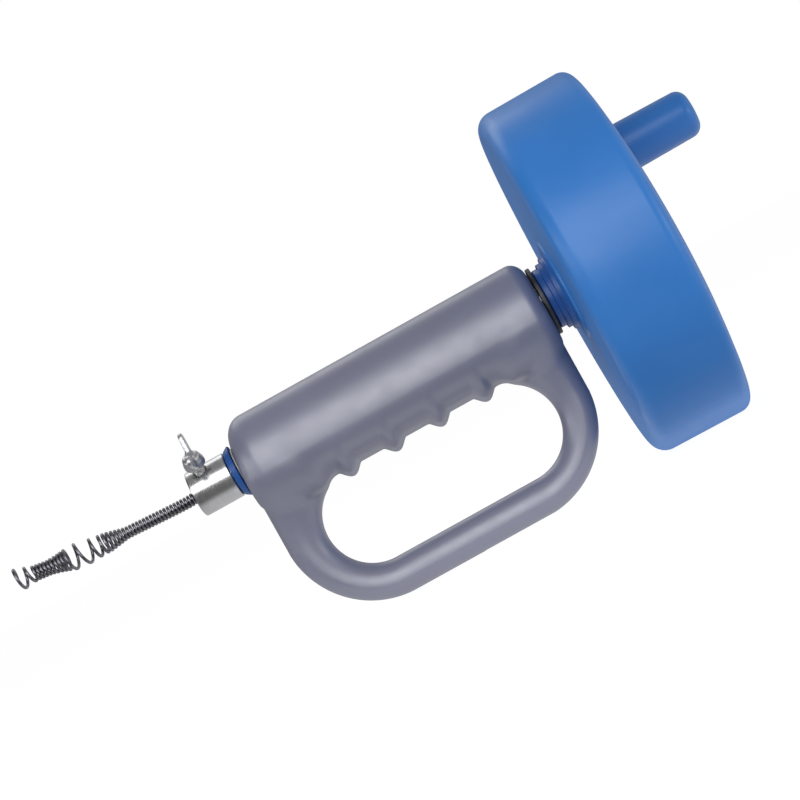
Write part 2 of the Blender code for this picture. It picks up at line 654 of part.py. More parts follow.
def main():
    clear_scene()
    origin = Vector((DRUM_FACE_X, 0.0, AXIS_Z))
    grip_pivot = make_pivot("grip_axis", origin)
    drum_pivot = make_pivot("drum_axis", origin)
    cable_pivot = make_pivot("cable_axis", origin)
    crank_pivot = make_pivot("crank_axis", origin + Vector((0.0, CRANK_OFFSET_Y, CRANK_OFFSET_Z)))
    clamp_place = origin + Vector((CLAMP_STATION, 0.0, 0.0))
    clamp_pivot = make_pivot("clamp_axis", clamp_place, radial_frame(CLAMP_TILT))
    grub_place = origin + Vector((GRUB_STATION, 0.0, 0.0))
    grub_pivot = make_pivot("grub_axis", grub_place, radial_frame(GRUB_TILT))

    build_grip(grip_pivot)
    build_bushings(grip_pivot)
    build_drum_shell(drum_pivot)
    build_rear_cover(drum_pivot)
    build_cover_screws(drum_pivot)
    build_spindle_set(drum_pivot)
    build_spindle_nut(drum_pivot)
    build_crank_hardware(crank_pivot)
    build_crank_knob(crank_pivot)
    build_chuck(drum_pivot, clamp_pivot, grub_pivot)
    build_clamp_shoe(clamp_pivot)
    build_wing_screw(clamp_pivot)
    build_cable(drum_pivot, cable_pivot)
    build_cable_end_clip(drum_pivot)


main()
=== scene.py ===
"""The looks of a hand-cranked drum drain auger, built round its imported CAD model.

Lengths in the constants are millimetres. A station is a place along the tool axis, measured from
the drum's front face and positive towards the crank. Piece meshes hold metres in the row frame.
"""

import json
from math import cos, pi, radians, sin, tan, tau

import bmesh
import bpy
import numpy as np
from mathutils import Matrix, Quaternion, Vector


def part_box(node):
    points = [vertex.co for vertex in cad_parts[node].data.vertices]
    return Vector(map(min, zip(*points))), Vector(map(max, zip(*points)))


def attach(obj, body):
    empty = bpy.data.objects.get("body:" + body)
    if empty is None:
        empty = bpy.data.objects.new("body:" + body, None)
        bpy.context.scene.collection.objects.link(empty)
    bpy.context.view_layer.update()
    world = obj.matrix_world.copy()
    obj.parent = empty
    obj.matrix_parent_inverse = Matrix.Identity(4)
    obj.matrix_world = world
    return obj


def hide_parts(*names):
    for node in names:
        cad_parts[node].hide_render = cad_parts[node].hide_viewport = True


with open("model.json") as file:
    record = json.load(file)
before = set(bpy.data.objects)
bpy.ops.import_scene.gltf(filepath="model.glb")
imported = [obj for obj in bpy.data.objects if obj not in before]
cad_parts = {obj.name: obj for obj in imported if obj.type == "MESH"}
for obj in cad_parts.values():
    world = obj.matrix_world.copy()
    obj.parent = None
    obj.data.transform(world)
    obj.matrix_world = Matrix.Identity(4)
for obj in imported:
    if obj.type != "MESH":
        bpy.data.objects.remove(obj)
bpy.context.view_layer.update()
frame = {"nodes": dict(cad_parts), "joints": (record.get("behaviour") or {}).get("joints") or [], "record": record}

MM = 0.001

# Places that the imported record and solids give
JOINTS = {joint["name"]: joint for joint in frame["joints"]}
AXIS_Z = JOINTS["drum_spin"]["pos_m"][2]
NECK_FRONT = -10.0
FACE_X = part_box("drum_shell")[0].x - NECK_FRONT * MM
ORIGIN = Vector((FACE_X, 0.0, AXIS_Z))
CRANK = (0.0, JOINTS["knob_spin"]["pos_m"][1] / MM,
         (JOINTS["knob_spin"]["pos_m"][2] - AXIS_Z) / MM)

# The shapes of the CAD solids, whose constants are repeated here
DRUM_RADIUS = 91.8
DRUM_FRONT_RADIUS = 91.2
DRUM_DEPTH = 51.0
BARREL_RADIUS = 23.5
BARREL_FRONT = -176.5
BARREL_REAR = -12.6
BARREL_FRONT_EDGE = 10.5
BARREL_REAR_EDGE = 7.5
BARREL_BORE = 10.5
BUSHING_RADIUS = 12.2
BUSHING_LENGTH = 17.0
WINDOW_FRONT = -156.5
WINDOW_REAR = -31.4
WINDOW_RADIUS = 24.0
WINDOW_CENTRE = -48.7
LOOP_FRONT = -177.1
LOOP_REAR = BARREL_REAR - 0.3
LOOP_BOTTOM = -91.0
LOOP_CORNER = 46.0
LOOP_HALF_DEPTH = 9.3
LOOP_ROOT_HALF_DEPTH = 18.0
RIDGE_AXIS = -6.5
RIDGE_RADIUS = 22.5
VALLEY_RADIUS = 18.1
RIDGE_FIRST = -131.0
RIDGE_PITCH = 24.5
RIDGE_COUNT = 4
RIDGE_HALF_WIDTH = 6.0
RUNNING_GAP = 0.3
SPINDLE_CLEAR = 8.3
CHUCK_RADIUS = 11.6
CHUCK_FRONT = -202.6
CHUCK_REAR = -181.5
CHUCK_BORE = 4.5
SPINDLE_END = -189.5
CLAMP_STATION = -194.5
CLAMP_TILT = radians(36.0)
GRUB_STATION = -186.3
GRUB_TILT = radians(215.0)
CLAMP_HOLE = 3.3
CLAMP_THREAD = 2.95
WIRE_RADIUS = 0.8
CABLE_RADIUS = 3.175
TIP_START = -240.7
CABLE_PITCH = 1.84
CABLE_INNER_END = 14.0
CABLE_LOW = 1.35           # the cable rests this far below the tool axis in the chuck's mouth
CABLE_BENDS = ((-211.0, 0.026, 6.0), (-262.0, 0.0375, 8.0))   # station, half slope, softness
COVER_SCREW_CIRCLE = 82.3
COVER_SCREW_SEAT = 49.6
COVER_SCREW_HEAD = 2.5
CRANK_BORE = 4.3

# Finer shapes, which the CAD solids leave out
BARREL_SINK = 6.0          # the barrel's widest line lies this far below the tool axis
LOOP_SHIFT = 2.0           # the loop's widest line lies this far outside the middle of its bar
LOOP_RISE = 2.2            # how fast the loop thickens towards its roots
RIDGE_BLEND = 1.6
END_BLEND = 0.8
CHUCK_FRONT_RADIUS = 10.6  # the flat ring at the chuck's nose ends here

# Studio, in metres, but for the camera's place, in millimetres from the middle of the drum's face
CAMERA_PLACE = (-58.12, -1099.3, -7.82)
CAMERA_AIM = radians(-1.891)
CAMERA_ROLL = radians(-29.105)
CAMERA_LENS = 103.2
FLOOR_REACH = 20.0
# Name, azimuth, elevation, distance, width, height, power, roll
SOFTBOXES = (("key_softbox", -2.0, 23.5, 1.3, 1.0, 0.84, 9.6, -29.0),
             ("left_softbox", -64.0, 14.0, 1.3, 1.6, 0.35, 5.0, 0.0),
             ("right_softbox", 60.0, 4.0, 1.3, 0.5, 0.25, 1.5, 0.0),
             ("back_softbox", 200.0, 50.0, 1.4, 1.0, 0.7, 3.0, 0.0))

# How a distance field is meshed
FIELD_PASSES = 4
FIELD_STEPS = 3
FIELD_PROBE = 0.05
LEAST_SQUARED_SLOPE = 0.04


# Meshes

def row_points(points):
    """Millimetre points (station, y, height over the axis) as metres in the row frame."""
    return np.asarray(points, float) * MM + np.array(ORIGIN)


def new_mesh(name, points, faces):
    mesh = bpy.data.meshes.new(name)
    mesh.from_pydata(np.asarray(points, float).tolist(), [], [list(face) for face in faces])
    return mesh


def turn_faces_out(mesh):
    clean = bmesh.new()
    clean.from_mesh(mesh)
    bmesh.ops.recalc_face_normals(clean, faces=clean.faces[:])
    clean.to_mesh(mesh)
    clean.free()


def add_object(name, data):
    thing = bpy.data.objects.new(name, data)
    bpy.context.scene.collection.objects.link(thing)
    return thing


def drop_object(thing):
    mesh = thing.data
    bpy.data.objects.remove(thing)
    bpy.data.meshes.remove(mesh)


def make_piece(name, points, faces, *settings, **more):
    """Makes a piece of millimetre points, as place_piece does of a mesh in metres."""
    place_piece(name, new_mesh(name, row_points(points), faces), *settings, **more)


def place_piece(name, mesh, body, replaces, slot, sharp=40.0, finish=None):
    """Makes a piece, rides it on its body and gives it its slot's finish or another. Edges are
    sharp where faces meet at more than sharp degrees."""
    turn_faces_out(mesh)
    mesh.shade_smooth()
    if sharp is not None:
        mesh.set_sharp_from_angle(angle=radians(sharp))
    mesh.materials.clear()
    mesh.materials.append(FINISHES[finish or slot])
    piece = add_object(name, mesh)
    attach(piece, body)
    if replaces:
        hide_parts(*replaces)


def rounded(corners, steps=5):
    """A profile whose corners (station, radius, fillet) are replaced by arcs."""
    points = []
    for index, (station, radius, fillet) in enumerate(corners):
        here = Vector((station, radius))
        if fillet <= 0.0 or index in (0, len(corners) - 1):
            points.append((station, radius))
            continue
        back = Vector(corners[index - 1][:2]) - here
        ahead = Vector(corners[index + 1][:2]) - here
        half = back.angle(ahead) / 2
        reach = min(fillet / tan(half), 0.48 * min(back.length, ahead.length))
        fillet = reach * tan(half)
        middle = here + (back.normalized() + ahead.normalized()).normalized() * fillet / sin(half)
        start = here + back.normalized() * reach - middle
        end = here + ahead.normalized() * reach - middle
        sweep = start.angle_signed(end)
        for step in range(steps + 1):
            turn = -sweep * step / steps
            points.append((middle.x + start.x * cos(turn) - start.y * sin(turn),
                           middle.y + start.x * sin(turn) + start.y * cos(turn)))
    return points


def ring_profile(corners, steps):
    """A closed rounded profile. Its first corner lies on a straight side and stays as it is."""
    return rounded([*corners, corners[0]], steps)[:-1]


def lathe_mesh(profile, sides, turn=None, centre=(0.0, 0.0, 0.0)):
    """Points and faces of a profile of (station, radius) turned about the station axis. turn
    is a rotation that aims the station axis, and centre then moves it."""
    points = []
    rings = []
    for station, radius in profile:
        if radius <= 1e-6:
            rings.append([len(points)])
            points.append((station, 0.0, 0.0))
            continue
        rings.append(list(range(len(points), len(points) + sides)))
        for side in range(sides):
            angle = tau * side / sides
            points.append((station, radius * sin(angle), radius * cos(angle)))
    pairs = list(zip(rings, rings[1:]))
    if len(rings[0]) > 1 and len(rings[-1]) > 1:
        pairs.append((rings[-1], rings[0]))
    faces = []
    for first, second in pairs:
        for side in range(sides):
            after = (side + 1) % sides
            corners = [first[side % len(first)], first[after % len(first)],
                       second[after % len(second)], second[side % len(second)]]
            face = list(dict.fromkeys(corners))
            if len(face) > 2:
                faces.append(face)
    points = np.array(points)
    if turn is not None:
        points = points @ np.array(turn).T
    return points + np.array(centre), faces


def bar_faces(rings, sides):
    """Faces of a closed bar whose points are this many rings of this many sides."""
    faces = [tuple(range(sides)), tuple(range((rings - 1) * sides, rings * sides))]
    for base in range(0, (rings - 1) * sides, sides):
        for side in range(sides):
            after = (side + 1) % sides
            faces.append((base + side, base + after, base + sides + after, base + sides + side))
    return faces


def sweep_mesh(path, radii, sides):
    """Points and faces of a round bar along a path, with frames that don't twist."""
    path = np.asarray(path, float)
    radii = np.broadcast_to(np.asarray(radii, float), len(path))
    tangents = np.gradient(path, axis=0)
    tangents /= np.linalg.norm(tangents, axis=1)[:, None]
    normal = np.cross(tangents[0], (0.0, 0.0, 1.0))
    if np.linalg.norm(normal) < 1e-3:
        normal = np.cross(tangents[0], (0.0, 1.0, 0.0))
    angles = tau * np.arange(sides) / sides
    rings = []
    for place, tangent, radius in zip(path, tangents, radii):
        normal = normal - tangent * normal.dot(tangent)
        normal /= np.linalg.norm(normal)
        side = np.cross(tangent, normal)
        rings.append(place + radius * (np.cos(angles)[:, None] * normal
                                       + np.sin(angles)[:, None] * side))
    return np.concatenate(rings), bar_faces(len(rings), sides)


def join_meshes(parts):
    """Joins (points, faces) parts into one."""
    points = []
    faces = []
    start = 0
    for part_points, part_faces in parts:
        points.append(np.asarray(part_points, float))
        faces += [tuple(start + index for index in face) for face in part_faces]
        start += len(part_points)
    return np.concatenate(points), faces


def radial_turn(tilt):
    """Rotation that aims the station axis away from the tool axis, tilted from up towards -Y."""
    outward = Vector((0.0, -sin(tilt), cos(tilt)))
    across = Vector((0.0, cos(tilt), sin(tilt)))
    return Matrix((outward, across, outward.cross(across))).transposed()


# Forms given by a distance field

def smooth_min(first, second, size):
    closeness = np.clip(1.0 - np.abs(first - second) / size, 0.0, 1.0)
    return np.minimum(first, second) - closeness ** 2 * size / 4.0


def smooth_max(first, second, size):
    return -smooth_min(-first, -second, size)


def fade(values, start, end):
    """0 before start and 1 after end, with a smooth step between."""
    part = np.clip((values - start) / (end - start), 0.0, 1.0)
    return part * part * (3.0 - 2.0 * part)


def even_mesh(seeds, voxel):
    """Remeshes overlapping closed parts as one even skin: its points, faces and edges."""
    mesh = new_mesh("field", *join_meshes(seeds))
    turn_faces_out(mesh)
    holder = add_object("field", mesh)
    remesh = holder.modifiers.new("even", "REMESH")
    remesh.mode = "VOXEL"
    remesh.voxel_size = voxel
    graph = bpy.context.evaluated_depsgraph_get()
    even = bpy.data.meshes.new_from_object(holder.evaluated_get(graph))
    drop_object(holder)
    points = np.zeros(len(even.vertices) * 3)
    even.vertices.foreach_get("co", points)
    edges = np.zeros(len(even.edges) * 2, int)
    even.edges.foreach_get("vertices", edges)
    faces = [tuple(polygon.vertices) for polygon in even.polygons]
    bpy.data.meshes.remove(even)
    return points.reshape(-1, 3), faces, edges.reshape(-1, 2)


def towards_surface(points, field, furthest):
    """Moves points towards the zero surface of a field. Also gives the field's slope where they
    were."""
    value = field(points)
    probes = FIELD_PROBE * np.eye(3)
    slope = np.stack([(field(points + probe) - field(points - probe)) / (2 * FIELD_PROBE)
                      for probe in probes], axis=1)
    size = np.maximum((slope ** 2).sum(axis=1), LEAST_SQUARED_SLOPE)
    move = -(value / size)[:, None] * slope
    length = np.maximum(np.linalg.norm(move, axis=1), 1e-9)
    return points + move * np.minimum(1.0, furthest / length)[:, None], slope


def evened_out(points, edges, slope):
    """Moves points half way to the middle of their neighbours, along the surface only."""
    total = np.zeros_like(points)
    np.add.at(total, edges[:, 0], points[edges[:, 1]])
    np.add.at(total, edges[:, 1], points[edges[:, 0]])
    count = np.bincount(edges.ravel(), minlength=len(points))
    drift = total / count[:, None] - points
    normal = slope / np.linalg.norm(slope, axis=1)[:, None]
    drift -= (drift * normal).sum(axis=1)[:, None] * normal
    return points + 0.5 * drift


def field_mesh(seeds, field, voxel):
    """Remeshes seed solids evenly and moves the points onto the zero surface of a field.
    Everything here is in millimetres."""
    points, faces, edges = even_mesh(seeds, voxel)
    for number in range(FIELD_PASSES):
        for _ in range(FIELD_STEPS):
            points, slope = towards_surface(points, field, 2.0 * voxel)
        if number < FIELD_PASSES - 1:
            points = evened_out(points, edges, slope)
    return points, faces


def cut_mesh(name, target, cutters):
    """Cuts closed cutter parts out of a closed target part and returns the mesh in metres."""
    pieces = []
    for points, faces in (target, *cutters):
        mesh = new_mesh("part", row_points(points), faces)
        turn_faces_out(mesh)
        pieces.append(add_object("part", mesh))
    for cutter in pieces[1:]:
        modifier = pieces[0].modifiers.new("cut", "BOOLEAN")
        modifier.operation = "DIFFERENCE"
        modifier.solver = "EXACT"
        modifier.object = cutter
    graph = bpy.context.evaluated_depsgraph_get()
    result = bpy.data.meshes.new_from_object(pieces[0].evaluated_get(graph))
    result.name = name
    for piece in pieces:
        drop_object(piece)
    return result


# Materials

class Graph:
    """A node tree, with short calls for the nodes that this script uses."""

    def __init__(self, tree):
        self.tree = tree

    def new(self, kind, **settings):
        node = self.tree.nodes.new(kind)
        for setting, value in settings.items():
            setattr(node, setting, value)
        return node

    def link(self, source, target):
        self.tree.links.new(source, target)

    def put(self, socket, value):
        """Links a node's output to a socket, or sets the socket to a plain value."""
        if isinstance(value, bpy.types.NodeSocket):
            self.link(value, socket)
        else:
            socket.default_value = value

    def fill(self, node, **sockets):
        """Puts values to a node's sockets, whose names have a _ for each space."""
        for name, value in sockets.items():
            self.put(node.inputs[name.replace("_", " ")], value)

    def spread(self, value, low, high, start=0.3, end=0.7, **settings):
        """Maps a value from start..end to low..high."""
        node = self.new("ShaderNodeMapRange", **settings)
        self.fill(node, Value=value, From_Min=start, From_Max=end, To_Min=low, To_Max=high)
        return node.outputs["Result"]

    def smooth_spread(self, value, low, high, start, end):
        return self.spread(value, low, high, start, end, interpolation_type="SMOOTHSTEP")

    def maths(self, operation, first, second=0.0):
        node = self.new("ShaderNodeMath", operation=operation)
        self.put(node.inputs[0], first)
        self.put(node.inputs[1], second)
        return node.outputs["Value"]

    def split(self, vector):
        """A vector's X, Y and Z, by name."""
        node = self.new("ShaderNodeSeparateXYZ")
        self.link(vector, node.inputs["Vector"])
        return node.outputs


class Nodes(Graph):
    """A material's node tree, with the layers that the finishes are made of."""

    def __init__(self, name, roughness, metallic=0.0, **sockets):
        self.material = bpy.data.materials.new(name)
        self.material.use_nodes = True
        super().__init__(self.material.node_tree)
        self.shader = self.tree.nodes["Principled BSDF"]
        self.fill(self.shader, Roughness=roughness, Metallic=metallic, **sockets)
        self.place = self.new("ShaderNodeTexCoord").outputs["Object"]

    def stretched(self, scale):
        """The object's coordinates, scaled along each axis."""
        node = self.new("ShaderNodeMapping")
        self.fill(node, Vector=self.place, Scale=scale)
        return node.outputs["Vector"]

    def noise(self, size, detail=2.0, roughness=0.5, vector=None, distortion=0.0):
        """Noise with features of about this size in millimetres."""
        node = self.new("ShaderNodeTexNoise")
        self.fill(node, Vector=vector or self.place, Scale=1.0 / (size * MM), Detail=detail,
                  Roughness=roughness, Distortion=distortion)
        return node.outputs["Fac"]

    def cells(self, size):
        """Distance to the nearest of many spots, about this size apart in millimetres."""
        node = self.new("ShaderNodeTexVoronoi", feature="F1")
        self.fill(node, Vector=self.place, Scale=1.0 / (size * MM))
        return node.outputs["Distance"]

    def blend(self, part, first, second):
        """Mixes two colours."""
        node = self.new("ShaderNodeMix", data_type="RGBA")
        colours = [socket for socket in node.inputs if socket.type == "RGBA"]
        self.put(node.inputs["Factor"], part)
        for socket, colour in zip(colours, (first, second)):
            self.put(socket, (*colour, 1.0) if isinstance(colour, tuple) else colour)
        return [socket for socket in node.outputs if socket.type == "RGBA"][0]

    def patches(self, first, second, *noise, **settings):
        """Two colours in soft patches, given by the size, detail and roughness of their noise."""
        return self.blend(self.spread(self.noise(*noise, **settings), 0.0, 1.0), first, second)

    def edge_rough(self, rough, most):
        """Roughness that rises to most where the surface turns away."""
        node = self.new("ShaderNodeLayerWeight")
        self.fill(node, Blend=0.5)
        part = self.spread(node.outputs["Facing"], 0.0, 1.0, 0.65, 0.97)
        gain = self.maths("MULTIPLY", part, self.maths("SUBTRACT", most, rough))
        return self.maths("ADD", rough, gain)

    def bumps(self, *layers):
        """Chains (height, depth in millimetres, strength) layers of relief."""
        normal = None
        for height, depth, strength in layers:
            node = self.new("ShaderNodeBump")
            self.fill(node, Height=height, Distance=depth * MM, Strength=strength)
            if normal is not None:
                self.link(normal, node.inputs["Normal"])
            normal = node.outputs["Normal"]
        self.link(normal, self.shader.inputs["Normal"])

    def finish(self, colour, roughness):
        self.fill(self.shader, Base_Color=colour, Roughness=roughness)
        return self.material


def tinted(colour, factor):
    return tuple(part * factor for part in colour)


def moulded_blue(name, depth=1.0, blue=(0.031, 0.183, 0.55), grazing=0.65):
    """Satin blue polypropylene with slow colour drift, handling haze and fine orange peel. The neck
    and the collar, in front of the drum's face, get a darker blue: painted shade, for the
    shadow that the grip and the drum throw there."""
    blue = tinted(blue, depth)
    made = Nodes(name, 0.34, IOR=1.42)
    colour = made.patches(tinted(blue, 0.95), tinted(blue, 1.05), 55.0, 2.0)
    haze = made.spread(made.noise(16.0, 4.0, 0.65), 0.0, 0.06, 0.45, 0.75)
    colour = made.blend(haze, colour, tinted((0.12, 0.27, 0.58), depth))
    # Painted shade: in front of the drum's face (the neck and the collar) the blue turns darker.
    front = made.spread(made.split(made.place)["X"], 1.0, 0.0, FACE_X - 3.0 * MM, FACE_X - 0.5 * MM)
    colour = made.blend(front, colour, (0.014, 0.080, 0.31))
    rough = made.edge_rough(made.spread(made.noise(9.0, 4.0, 0.65), 0.30, 0.39), grazing)
    made.bumps((made.noise(7.0, 2.0), 0.05, 0.3), (made.noise(0.35, 2.0, 0.6), 0.006, 0.35))
    return made.finish(colour, rough)


def moulded_grip():
    """Satin grey grip plastic: fine eroded texture, a mould parting line and faint wear."""
    grey = (0.154, 0.162, 0.240)
    made = Nodes("grip_grey_moulded", 0.40, IOR=2.05)
    colour = made.patches(tinted(grey, 0.95), tinted(grey, 1.05), 40.0, 3.0)
    speck = made.spread(made.noise(0.5, 2.0), 0.0, 0.10, 0.45, 0.7)
    colour = made.blend(speck, colour, tinted(grey, 1.45))
    rough = made.edge_rough(made.spread(made.noise(9.0, 3.0, 0.6), 0.36, 0.44), 0.6)
    off_middle = made.maths("ABSOLUTE", made.split(made.place)["Y"])
    seam = made.spread(off_middle, 1.0, 0.0, 0.10 * MM, 0.32 * MM)
    made.bumps((made.noise(0.45, 3.0, 0.65), 0.02, 0.55), (made.noise(5.0, 2.0), 0.03, 0.25),
               (seam, 0.10, 0.6))
    return made.finish(colour, rough)


def turned_metal():
    """Bright turned steel with fine tool marks round the tool axis."""
    made = Nodes("turned_steel_bright", 0.2, 1.0, Anisotropic=0.35)
    tangent = made.new("ShaderNodeTangent", direction_type="RADIAL", axis="X")
    made.link(tangent.outputs["Tangent"], made.shader.inputs["Tangent"])
    marks = made.noise(0.22, 3.0, 0.7, made.stretched((1.0, 0.03, 0.03)))
    bands = made.noise(2.5, 2.0, 0.5, made.stretched((1.0, 0.05, 0.05)))
    colour = made.patches((0.50, 0.50, 0.51), (0.60, 0.60, 0.61), 6.0, 4.0, 0.6)
    colour = made.blend(made.spread(bands, 0.0, 0.35), colour, (0.42, 0.42, 0.44))
    made.bumps((marks, 0.012, 0.5), (bands, 0.01, 0.3))
    return made.finish(colour, made.spread(marks, 0.17, 0.29))


def zinc_plate():
    """Zinc-plated steel: cloudy passivation tints over a slightly uneven surface."""
    made = Nodes("zinc_steel_plated", 0.35, 1.0)
    colour = made.patches((0.52, 0.54, 0.58), (0.63, 0.62, 0.60), 4.0, 3.0, 0.6, distortion=0.6)
    speck = made.spread(made.cells(0.8), 0.14, 0.0, 0.05, 0.3)
    colour = made.blend(speck, colour, (0.36, 0.36, 0.38))
    made.bumps((made.noise(1.2, 3.0, 0.6), 0.02, 0.35))
    return made.finish(colour, made.spread(made.noise(1.5, 3.0, 0.6), 0.30, 0.44))


def shade_darkened_steel():
    """The rear washer's steel, painted very dark: painted shade for the shadowed gap between the grip and the
    drum's hub.
    """
    made = Nodes("turned_steel_painted_shade", 0.5, 0.7)
    colour = made.patches((0.035, 0.036, 0.040), (0.085, 0.085, 0.09), 3.0, 4.0, 0.6)
    made.bumps((made.noise(0.5, 3.0, 0.6), 0.012, 0.5))
    return made.finish(colour, made.spread(made.noise(1.5, 3.0), 0.42, 0.6))


def spring_wire():
    """Dark drawn spring wire: draw marks, an oily film and small bright rubs."""
    made = Nodes("spring_steel_oiled", 0.35, 1.0)
    colour = made.patches((0.13, 0.13, 0.155), (0.25, 0.25, 0.28), 3.5, 4.0, 0.6)
    rub = made.spread(made.noise(0.9, 3.0, 0.6), 0.0, 0.4, 0.54, 0.72)
    colour = made.blend(rub, colour, (0.50, 0.50, 0.53))
    made.bumps((made.noise(0.3, 3.0, 0.6), 0.008, 0.4))
    return made.finish(colour, made.spread(made.noise(1.6, 3.0), 0.27, 0.40))


def black_oxide():
    made = Nodes("black_steel_oxide", 0.42, 1.0)
    colour = made.patches((0.04, 0.04, 0.045), (0.10, 0.10, 0.11), 1.2, 4.0)
    made.bumps((made.noise(0.4, 2.0), 0.01, 0.5))
    return made.finish(colour, made.spread(made.noise(0.8, 3.0), 0.32, 0.5))


def turned_brass():
    made = Nodes("brass_turned", 0.3, 1.0)
    marks = made.noise(0.25, 3.0, 0.7)
    colour = made.patches((0.60, 0.40, 0.14), (0.78, 0.56, 0.22), 2.0, 3.0)
    made.bumps((marks, 0.01, 0.5))
    return made.finish(colour, made.spread(marks, 0.2, 0.4))


def acetal_black():
    made = Nodes("bushing_black_acetal", 0.45)
    colour = made.patches((0.024, 0.024, 0.027), (0.042, 0.042, 0.047), 3.0, 3.0)
    made.bumps((made.noise(0.5, 2.0), 0.01, 0.4))
    return made.finish(colour, made.spread(made.noise(2.0, 2.0), 0.38, 0.52))


def nylon_white():
    made = Nodes("washer_white_nylon", 0.4, Subsurface_Weight=0.1, Subsurface_Scale=0.001)
    colour = made.patches((0.42, 0.42, 0.40), (0.54, 0.54, 0.53), 3.0, 3.0)
    made.bumps((made.noise(0.5, 2.0), 0.01, 0.4))
    return made.finish(colour, made.spread(made.noise(1.5, 2.0), 0.34, 0.5))


def make_finishes():
    """The finishes, by the name of the record's material slot or of the piece that differs."""
    return {"drum_blue": moulded_blue("drum_blue_moulded"),
            "knob_blue": moulded_blue("drum_blue_knob", 0.80),
            # The cover's paler blue is partly painted reflection of the bright room behind; its low grazing
            # roughness is real gloss.
            "cover_blue": moulded_blue("drum_blue_cover_painted_sheen", 1.0, (0.10, 0.23, 0.56), 0.25),
            "grip_grey": moulded_grip(), "turned_steel": turned_metal(),
            "painted_shade_steel": shade_darkened_steel(), "zinc_steel": zinc_plate(),
            "spring_steel": spring_wire(), "black_steel": black_oxide(), "brass": turned_brass(),
            "bushing_black": acetal_black(), "washer_white": nylon_white()}


# Grip

def ridge_radius(station):
    """Radius of the barrel's underside about the ridge axis, with a bump at each finger ridge."""
    index = np.clip(np.round((station - RIDGE_FIRST) / RIDGE_PITCH), 0, RIDGE_COUNT - 1)
    part = np.clip((station - RIDGE_FIRST - index * RIDGE_PITCH) / RIDGE_HALF_WIDTH, -1.0, 1.0)
    bump = np.abs(np.cos(pi / 2 * part)) ** 1.2
    first = RIDGE_FIRST - 0.75 * RIDGE_PITCH
    last = RIDGE_FIRST + (RIDGE_COUNT - 0.25) * RIDGE_PITCH
    inside = fade(station, first - 4.0, first + 5.0) * (1.0 - fade(station, last - 5.0, last + 4.0))
    return VALLEY_RADIUS + (RIDGE_RADIUS - VALLEY_RADIUS) * bump - 4.0 * (1.0 - inside)


def loop_reach(angle, wall):
    """Distance from a window end's centre to the loop's outer outline, at angles from up."""
    across = np.maximum(np.sin(angle), 1e-6)
    up = np.cos(angle)
    above = np.minimum(wall / across, (WINDOW_RADIUS + 19.5) / np.maximum(up, 0.01))
    corner_across = wall - LOOP_CORNER
    corner_up = LOOP_BOTTOM + LOOP_CORNER - WINDOW_CENTRE
    along = corner_across * np.sin(angle) + corner_up * up
    aside = corner_across * up - corner_up * np.sin(angle)
    below = along + np.sqrt(LOOP_CORNER ** 2 - aside ** 2)
    return np.where(up >= 0.0, above, below)


def loop_half_depth(angle):
    """Half the loop's thickness at angles from up: it thickens towards the barrel."""
    rise = np.maximum(0.0, np.cos(angle)) ** LOOP_RISE
    return LOOP_HALF_DEPTH + (LOOP_ROOT_HALF_DEPTH - LOOP_HALF_DEPTH) * rise


def loop_field(station, y, height):
    """Distance to a loop of oval section round the window, which thins out at its roots."""
    front = WINDOW_FRONT + WINDOW_RADIUS
    rear = WINDOW_REAR - WINDOW_RADIUS
    past_front = station < front
    past_rear = station > rear
    out = np.where(past_front, front - station, np.where(past_rear, station - rear, 0.0))
    up = height - WINDOW_CENTRE
    distance = np.hypot(out, up)
    angle = np.arctan2(out, up)
    wall = np.where(station < (front + rear) / 2, front - LOOP_FRONT, LOOP_REAR - rear)
    reach = loop_reach(angle, wall)
    rooted = fade(np.degrees(angle), 2.0, 34.0)
    inner = WINDOW_RADIUS + 4.0 * (1.0 - rooted)
    half_width = (reach - inner) / 2
    half_depth = 2.0 + (loop_half_depth(angle) - 2.0) * rooted
    shift = LOOP_SHIFT * rooted
    off = distance - (reach + inner) / 2 - shift
    half_width = half_width - np.where(off > 0.0, shift, -shift)
    side = off / half_width
    depth = y / half_depth
    size = np.hypot(side, depth)
    slope = np.maximum(np.hypot(side / half_width, depth / half_depth), 1e-3)
    return size * (size - 1.0) / slope


def grip_field(points):
    """Distance to the grip's surface: a barrel with finger ridges and a loop blended into it.
    The barrel is two half ovals that meet at its widest line."""
    station, y, height = points.T
    sunk = height + BARREL_SINK
    upper = sunk * BARREL_RADIUS / (BARREL_RADIUS + BARREL_SINK)
    lower = sunk * BARREL_RADIUS / (BARREL_RADIUS - BARREL_SINK)
    radius = np.hypot(y, np.where(sunk > 0.0, upper, lower))
    middle = (BARREL_FRONT + BARREL_REAR) / 2
    half = (BARREL_REAR - BARREL_FRONT) / 2
    edge = np.where(station < middle, BARREL_FRONT_EDGE, BARREL_REAR_EDGE)
    past = np.abs(station - middle) - (half - edge)
    off = radius - (BARREL_RADIUS - edge)
    barrel = np.hypot(np.maximum(past, 0.0), np.maximum(off, 0.0)) - edge
    barrel = barrel + np.minimum(np.maximum(past, off), 0.0)
    ridges = np.hypot(y, height - RIDGE_AXIS) - ridge_radius(station)
    body = smooth_min(barrel, ridges, RIDGE_BLEND)
    # The loop meets the barrel crisply in the middle of its underside and softly at the sides.
    blend = 2.5 + 11.5 * fade(np.abs(y), 2.0, 13.0)
    whole = smooth_min(body, loop_field(station, y, height), blend)
    whole = smooth_max(whole, LOOP_FRONT - station, END_BLEND)
    return smooth_max(whole, station - BARREL_REAR, END_BLEND)


